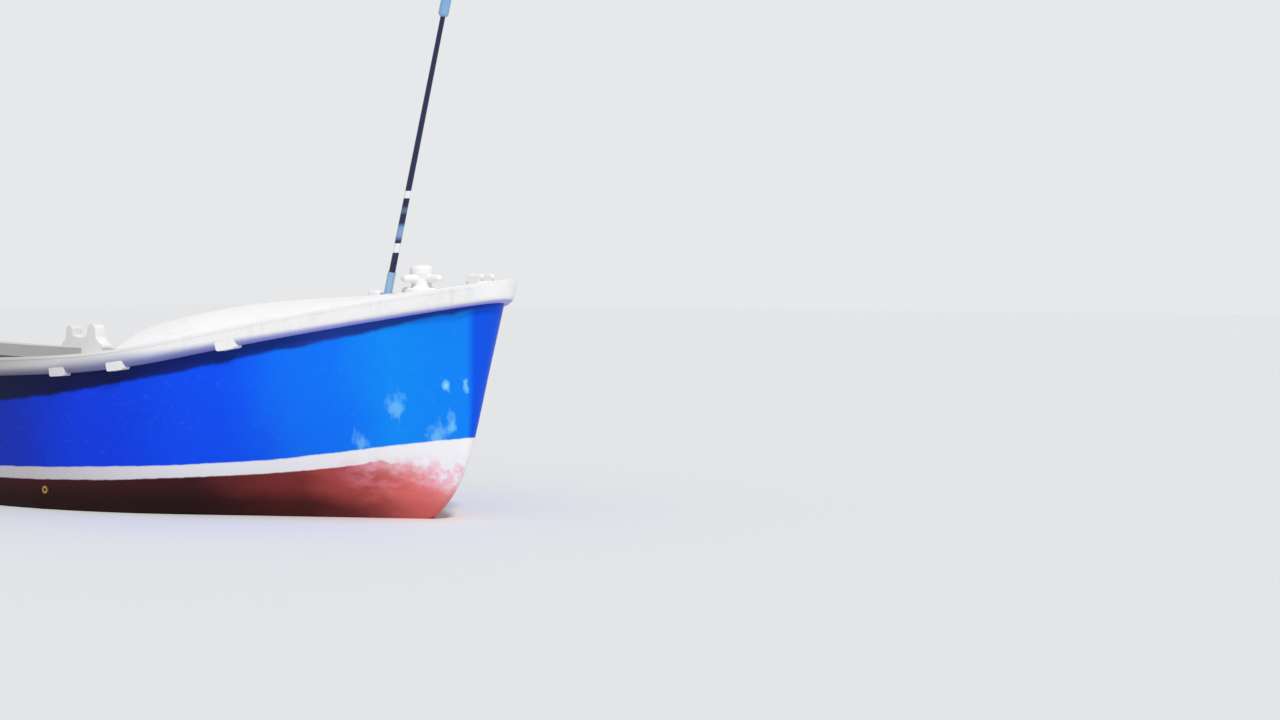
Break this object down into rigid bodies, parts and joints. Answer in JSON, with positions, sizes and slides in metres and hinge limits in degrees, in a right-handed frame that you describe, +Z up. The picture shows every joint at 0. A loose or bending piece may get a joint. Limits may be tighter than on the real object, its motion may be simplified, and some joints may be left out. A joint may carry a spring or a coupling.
{
  "type": "open launch",
  "caption": "Small open displacement launch with a raised cambered foredeck, mooring post, raked staff, inboard engine box, propeller and transom-hung rudder.",
  "frame": {"origin": "on the centreline amidships, at the level the boat floats to", "axes": "+X forward to the bow, +Y to port, +Z up"},
  "size_m": [6.1327, 1.9794, 3.2128],
  "materials": {
    "hull_blue": "gelcoat, royal blue over a dark red bottom",
    "strake_white": "worn off-white",
    "deck_white": "warm white moulded deck",
    "bollard_white": "weathered white paint",
    "socket_blue": "pale blue paint",
    "staff_navy": "dark navy paint with pale bands",
    "staff_head_blue": "pale blue sleeve",
    "interior_grey": "flow-coated light grey",
    "boards": "oiled hardwood",
    "bench_moulding": "white moulding",
    "engine_green": "painted casting",
    "bronze": "cast bronze",
    "steel": "stainless steel",
    "antifoul": "dark red bottom paint",
    "rudder_paint": "dark red painted blade",
    "tiller_wood": "varnished ash"
  },
  "bodies": {
    "hull_body": {"hull_shell": "hull_blue", "keel_skeg": "antifoul", "strake_port": "strake_white", "strake_starboard": "strake_white", "strake_pads": "strake_white", "gunwale_cap_port": "deck_white", "gunwale_cap_starboard": "deck_white", "transom_cap": "deck_white", "foredeck": "deck_white", "foredeck_beam": "interior_grey", "bollard": "bollard_white", "stem_fairlead": "bollard_white", "deck_eye": "bollard_white", "staff_socket": "socket_blue", "thole_chock_starboard": "strake_white", "thole_chock_port": "strake_white", "stern_cleat_starboard": "steel", "stern_cleat_port": "steel", "stern_eye_starboard": "steel", "stern_eye_port": "steel", "exhaust_outlet": "bronze", "skin_fitting": "bronze", "sole_boards": "boards", "sole_bearers": "interior_grey", "thwart": "boards", "thwart_knees": "boards", "bench_seat_port": "bench_moulding", "bench_front_port": "bench_moulding", "bench_seat_starboard": "bench_moulding", "bench_front_starboard": "bench_moulding", "stern_bench_seat": "bench_moulding", "stern_bench_front": "bench_moulding", "engine_box": "bench_moulding", "lid_hinges": "steel", "engine": "engine_green", "engine_bearers": "interior_grey", "stern_tube": "bronze", "transom_gudgeons": "bronze"},
    "rudder_body": {"rudder": "rudder_paint", "rudder_pintles": "bronze", "tiller": "tiller_wood"},
    "propeller_body": {"propeller": "bronze", "propeller_shaft": "steel"},
    "lid_body": {"engine_lid": "bench_moulding", "lid_hinge_knuckles": "steel"},
    "staff_body": {"staff": "staff_navy", "staff_head": "staff_head_blue"}
  },
  "joints": [
    {"name": "rudder_steer", "type": "hinge", "parent": "hull_body", "child": "rudder_body", "pos_m": [-2.848, 0, 0], "axis": [0, 0, 1], "range_deg": [-35, 35]},
    {"name": "propeller_spin", "type": "hinge", "parent": "hull_body", "child": "propeller_body", "pos_m": [-2.555, 0, -0.322], "axis": [0.9945, 0, 0.1045], "continuous": true},
    {"name": "engine_lid_hinge", "type": "hinge", "parent": "hull_body", "child": "lid_body", "pos_m": [-0.441, 0, 0.3753], "axis": [0, 1, 0], "range_deg": [0, 95]},
    {"name": "staff_lift", "type": "slide", "parent": "hull_body", "child": "staff_body", "axis": [0.2622, 0, 0.965], "range_m": [0, 0.09]}
  ]
}
